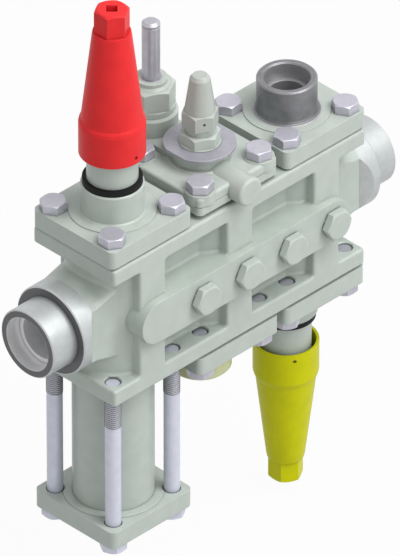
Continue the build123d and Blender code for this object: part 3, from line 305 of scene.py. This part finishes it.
def turned_metal(name, base, dark, rough=0.3, metallic=0.9, axis="Z", centre=None, end_face_shade=None, bore=None):
    """Turned or plated metal with tool rings, lighter on its edges as wear and as a painted highlight, and
    darkened by painted shade in corners and gaps; end_face_shade is the darker tone painted on faces square
    to the axis as painted shade, bore is the radius of a bore and the lighter tone painted inside it as
    painted light."""
    material, tree, shader = blank(name)
    path, radius = tool_path(tree, axis, centre)
    rings = use(tree, TOOL_LINES, Along=path)
    edge = use(tree, EDGE_MASK, Radius=METAL_WEAR_AND_HIGHLIGHT, Gain=5.0)["Mask"]
    body = mix_color(tree, rings["Tone"], dark, base)
    # painted shade: faces square to the axis take a darker tone
    if end_face_shade:
        normal = add(tree, "ShaderNodeNewGeometry").outputs["True Normal"]
        facing = add(tree, "ShaderNodeSeparateXYZ", None, Vector=normal).outputs[axis]
        square = ramp(tree, calc(tree, "ABSOLUTE", facing), 0.9, 0.97)
        body = mix_color(tree, square, body, end_face_shade)
    # painted light: a lighter tone inside the bore, where little lamp light reaches
    if bore:
        inside = calc(tree, "LESS_THAN", radius, bore[0])
        body = mix_color(tree, inside, body, bore[1])
    # lighter edges: partly wear, partly a painted highlight; then painted shade in corners and gaps
    rubbed_and_highlit = mix_color(tree, ramp(tree, edge, high=0.6), body, "f2f2f2")
    colour_and_gloss(tree, shader, shaded(tree, rubbed_and_highlit), rings["Tone"], rough + 0.06, rough - 0.04)
    relief(tree, shader, rings["Height"], 0.35, TOOL_MARK, METAL_ROUND)
    shader.inputs["Metallic"].default_value = metallic
    return material


def enamel(name, base, dark, light, rough=0.42):
    """Coloured enamel on a turned cap, lighter on its edges as wear and as a painted highlight, with painted
    shade in corners and gaps.
    """
    material, tree, shader = blank(name)
    skin = use(tree, CAST_GRAIN, Grain_Scale=1400.0, Wave_Scale=60.0)
    edge = use(tree, EDGE_MASK, Radius=ENAMEL_WEAR_AND_HIGHLIGHT, Gain=4.0)["Mask"]
    body = mix_color(tree, skin["Tone"], dark, base)
    # lighter edges: partly enamel wear, partly a painted highlight
    worn_and_highlit = mix_color(tree, ramp(tree, edge, high=0.4), body, light)
    # painted shade darkens corners and gaps
    colour_and_gloss(tree, shader, shaded(tree, worn_and_highlit), skin["Tone"], rough - 0.04, rough + 0.05)
    relief(tree, shader, skin["Height"], 0.3, ENAMEL_GRAIN, ENAMEL_ROUND)
    shader.inputs["Specular IOR Level"].default_value = 0.15
    return material


def moulded(name, base, light, rough=0.6):
    """Rubber, fibre or plastic ring."""
    material, tree, shader = blank(name)
    skin = use(tree, CAST_GRAIN, Grain_Scale=2200.0, Wave_Scale=120.0)
    colour_and_gloss(tree, shader, mix_color(tree, skin["Tone"], base, light), skin["Tone"],
                     rough - 0.08, rough + 0.08)
    relief(tree, shader, skin["Height"], 0.3, MOULDED_GRAIN)
    shader.inputs["Specular IOR Level"].default_value = 0.2
    return material


def woven_wire(name, base, dark):
    """Strainer gauze: two crossed sets of fine wires."""
    material, tree, shader = blank(name)
    place = object_place(tree)
    sets = [add(tree, "ShaderNodeTexWave", {"bands_direction": direction}, Vector=place, Scale=220.0)
            for direction in ("Z", "X")]
    wires = calc(tree, "MAXIMUM", *(wave.outputs["Fac"] for wave in sets))
    colour_and_gloss(tree, shader, mix_color(tree, wires, dark, base), wires, 0.6, 0.35)
    relief(tree, shader, wires, 0.6, GAUZE_RELIEF)
    shader.inputs["Metallic"].default_value = 0.8
    return material


# Finish of each material slot of the record, and of the extra threads, whose dark colour is painted shade of
# their grooves
finishes = {
    "casting": painted_cast("pale_grey_paint", "b8c1ba", "b1bab3", "ccd4ce"),
    # the plate's end faces are darkened as painted shade; both bores are lightened as painted light
    "plate": turned_metal("bright_turned_steel", "c0c4c4", "b4b8b9", 0.42, 0.5, axis="X", centre=(0, 0, 0),
                          end_face_shade="606062", bore=(SOCKET_BORE, "f2f2f3")),
    "dark_steel": turned_metal("dark_turned_steel", "8a8a8d", "7a7a7d", 0.42, 0.6, centre=(AXIS_3, 0, 0),
                               bore=(WELD_BORE, "a8a8ab")),
    "zinc": turned_metal("zinc_plate", "c4c3cd", "b8b7c2", 0.4, 0.5),
    "yellow_zinc": turned_metal("yellow_zinc_plate", "d6dab0", "c6ca9c", 0.4, 0.4),
    "red": enamel("red_enamel", "e63032", "dc2c2e", "f05a5a"),
    "yellow": enamel("yellow_enamel", "cfcf00", "c4c400", "dfdf1c"),
    "steel": turned_metal("ground_steel", "c0c2c6", "a6a8ac", 0.28),
    "black_rubber": moulded("black_rubber", "0c0c0c", "181818"),
    "gasket": moulded("grey_fibre", "5a5a5e", "6c6c70", 0.7),
    "ptfe": moulded("white_seal", "e4e4e0", "f0f0ec", 0.45),
    "mesh": woven_wire("strainer_gauze", "b8b8b8", "3a3a3a"),
    "brass": turned_metal("turned_brass", "d8b070", "b98f4e"),
    "grey_cap": painted_cast("grey_cap_paint", "b2b8b2", "acb2ac", "d0d5d0", 0.38, CAP_PAINT_GRAIN),
    # dark colour of the thread ridges: painted shade of the thread's grooves
    "thread": turned_metal("thread_painted_shade", "77787c", "6a6b70", 0.4, 0.6),
    "seal_washer": turned_metal("soft_aluminium", "c8c8ca", "b0b0b4", 0.4, 0.8, axis="Y"),
}

# Nodes whose finish differs from the rest of their slot
own_finishes = {
    "filter_bolts": turned_metal("bright_zinc_screws", "d6d8e6", "cccedc", 0.42, 0.25),
    "stem_disc": turned_metal("zinc_disc", "aeadb6", "a3a2ac", 0.42, 0.4, centre=(AXIS_2, 0, 0)),
    "armature_tube": turned_metal("zinc_tube", "bcbbc3", "adacb5", 0.36, 0.5,
                                  centre=(AXIS_2, PILOT_AXIS_Y, 0)),
    "check_guide_cap": turned_metal("yellow_zinc_cap", "d2d6a8", "c6ca9c", 0.42, 0.35,
                                    centre=(AXIS_2, 0, 0)),
}
slot_of = {part["node"]: part["material_slot"] for part in frame["record"]["subparts"]}
for node_name, node_object in frame["nodes"].items():
    node_object.data.materials.clear()
    node_object.data.materials.append(own_finishes.get(node_name, finishes[slot_of[node_name]]))


# Extra pieces

def mesh_of(name, verts, faces):
    """A mesh from its points and faces."""
    mesh = bpy.data.meshes.new(name)
    mesh.from_pydata(verts, [], faces)
    mesh.update()
    return mesh


def place_in_scene(name, data):
    """A new object in the scene."""
    made = bpy.data.objects.new(name, data)
    bpy.context.scene.collection.objects.link(made)
    return made


def show(mesh, material, body):
    """Links a mesh as a piece with a finish and its material slot, and lets it ride on a body."""
    piece = place_in_scene(mesh.name, mesh)
    piece.data.materials.append(material)
    for polygon in mesh.polygons:
        polygon.use_smooth = True
    mesh.set_sharp_from_angle(angle=SMOOTH_ANGLE)
    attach(piece, body)
    return piece


def thread_ridges(places, segments=20):
    """Closed helical ridges on upright screws, running down from the start height; a ridge rises to its
    full height in half a turn and falls off in the same way."""
    rows = len(THREAD_FORM)
    steps = int((THREAD_START_Z - THREAD_END_Z) / THREAD_PITCH * segments) - segments
    verts, faces = [], []
    for x, y in places:
        base = len(verts)
        for k in range(steps + 1):
            angle = 2 * math.pi * k / segments
            swell = min(1.0, 2 * k / segments, 2 * (steps - k) / segments)
            for share, rise in THREAD_FORM:
                r = ROD_RADIUS + (rise * swell if rise > 0 else rise)
                verts.append((x + r * math.cos(angle), y + r * math.sin(angle),
                              THREAD_START_Z - (k / segments + share) * THREAD_PITCH))
        for k in range(steps):
            for row in range(rows):
                here, below = base + k * rows + row, base + k * rows + (row + 1) % rows
                faces.append((here, below, below + rows, here + rows))
        faces.append(tuple(base + row for row in reversed(range(rows))))
        faces.append(tuple(base + steps * rows + row for row in range(rows)))
    return mesh_of("long_screw_threads", verts, faces)


def flange_step(x, z, segments=240):
    """Low round step on the strainer's end flange, hollowed where it passes the four long screws."""
    across = BOLT_SQUARE * math.sqrt(2)
    verts, faces = [], []
    for k in range(segments):
        angle = 2 * math.pi * k / segments
        lean = (angle % (math.pi / 2)) - math.pi / 4      # from the nearest screw
        side = across * math.sin(lean)
        outer = STEP_RADIUS
        if abs(side) < SCREW_CLEARANCE:
            outer = min(outer, across * math.cos(lean) - math.sqrt(SCREW_CLEARANCE ** 2 - side ** 2))
        section = ((STEP_BORE, -STEP_CHAMFER), (STEP_BORE, STEP_HEIGHT), (outer - STEP_CHAMFER, STEP_HEIGHT),
                   (outer, STEP_HEIGHT - STEP_CHAMFER), (outer, -STEP_CHAMFER))
        verts += [(x + r * math.cos(angle), r * math.sin(angle), z + height) for r, height in section]
    rows = len(verts) // segments
    for k in range(segments):
        for row in range(rows):
            here, up = k * rows + row, k * rows + (row + 1) % rows
            there, there_up = (here + rows) % len(verts), (up + rows) % len(verts)
            faces.append((here, up, there_up, there))
    return mesh_of("filter_flange_step", verts, faces)


def shortening_spring(node):
    """Stands a copy of a spring, with a mesh of its own, in for its node on the station body, and hides the
    node.
    """
    coil = frame["nodes"][node].data.copy()
    coil.name = node + "_coil"
    coil.materials.clear()
    spring = show(coil, finishes[slot_of[node]], "station")
    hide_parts(node)
    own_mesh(spring)


screw_places = [(AXIS_1 + sx * BOLT_SQUARE, sy * BOLT_SQUARE) for sx in (-1, 1) for sy in (-1, 1)]
show(thread_ridges(screw_places), finishes["thread"], "station")
flange_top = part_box("filter_end_flange")[1].z
show(flange_step(AXIS_1, flange_top), finishes["casting"], "station")
for moving in frame["record"]["behaviour"]["joints"]:
    for soft in moving.get("deforming_nodes", ()):
        shortening_spring(soft["node"])


# Floor, light and camera

def seen_directly(tree):
    """Mask that is 1 for the camera's own rays, for reflections and through glass."""
    path = add(tree, "ShaderNodeLightPath").outputs
    seen = calc(tree, "MAXIMUM", path["Is Camera Ray"], path["Is Glossy Ray"])
    return calc(tree, "MAXIMUM", seen, path["Is Transmission Ray"])


def studio_floor():
    """Pale floor that shows as white to the camera and keeps a soft shadow."""
    material = bpy.data.materials.new("studio_floor")
    material.use_nodes = True
    tree = material.node_tree
    tree.nodes.clear()
    matte = add(tree, "ShaderNodeBsdfDiffuse", None, Color=srgb("bcbcbc"))
    white = add(tree, "ShaderNodeEmission", None, Color=srgb("ffffff"), Strength=1.0)
    share = calc(tree, "MULTIPLY", seen_directly(tree), FLOOR_WHITE)
    both = add(tree, "ShaderNodeMixShader", None, Fac=share, i1=matte.outputs[0], i2=white.outputs[0])
    add(tree, "ShaderNodeOutputMaterial", None, i0=both.outputs[0])
    corners = [(x * FLOOR_REACH, y * FLOOR_REACH, FLOOR_Z) for x, y in ((-1, -1), (1, -1), (1, 1), (-1, 1))]
    floor = place_in_scene("floor", mesh_of("floor", corners, [(0, 1, 2, 3)]))
    floor.data.materials.append(material)


def studio_world():
    """Even grey light that shows as white to the camera and in reflections."""
    world = bpy.data.worlds.new("studio")
    bpy.context.scene.world = world
    world.use_nodes = True
    tree = world.node_tree
    tree.nodes.clear()
    level = ramp(tree, seen_directly(tree), low=WORLD_LIGHT, high=1.0)
    sky = add(tree, "ShaderNodeBackground", None, Color=srgb("ffffff"), Strength=level)
    add(tree, "ShaderNodeOutputWorld", None, i0=sky.outputs[0])


def area_light(name, place, target, side, power):
    """Soft square lamp aimed at a point."""
    lamp = bpy.data.lights.new(name, "AREA")
    lamp.shape = "SQUARE"
    lamp.size = side
    lamp.energy = power
    holder = place_in_scene(name, lamp)
    holder.location = place
    holder.rotation_mode = "QUATERNION"
    holder.rotation_quaternion = (target - place).to_track_quat("-Z", "Y")


def photo_camera(target):
    """Long lens that sees the station as the photograph's parallel view does."""
    back = Vector((math.sin(VIEW_AZIMUTH) * math.cos(VIEW_ELEVATION),
                   -math.cos(VIEW_AZIMUTH) * math.cos(VIEW_ELEVATION), math.sin(VIEW_ELEVATION)))
    up = Vector((-math.sin(VIEW_AZIMUTH) * math.sin(VIEW_ELEVATION),
                 math.cos(VIEW_AZIMUTH) * math.sin(VIEW_ELEVATION), math.cos(VIEW_ELEVATION)))
    data = bpy.data.cameras.new("camera")
    data.lens = LENS
    data.sensor_width = SENSOR
    camera = place_in_scene("camera", data)
    distance = PHOTO_SIZE[1] / PHOTO_SCALE * LENS / SENSOR
    camera.location = target - up * PHOTO_DROP + back * distance
    camera.rotation_mode = "QUATERNION"
    camera.rotation_quaternion = (-back).to_track_quat("-Z", "Y")
    bpy.context.scene.camera = camera


centre = Vector((AXIS_2, 0, 0))
studio_floor()
studio_world()
for lamp_name, (lamp_offset, lamp_side, lamp_power) in LAMPS.items():
    area_light(lamp_name, centre + Vector(lamp_offset), centre, lamp_side, lamp_power)
photo_camera(centre)
bpy.context.scene.view_settings.view_transform = "Standard"
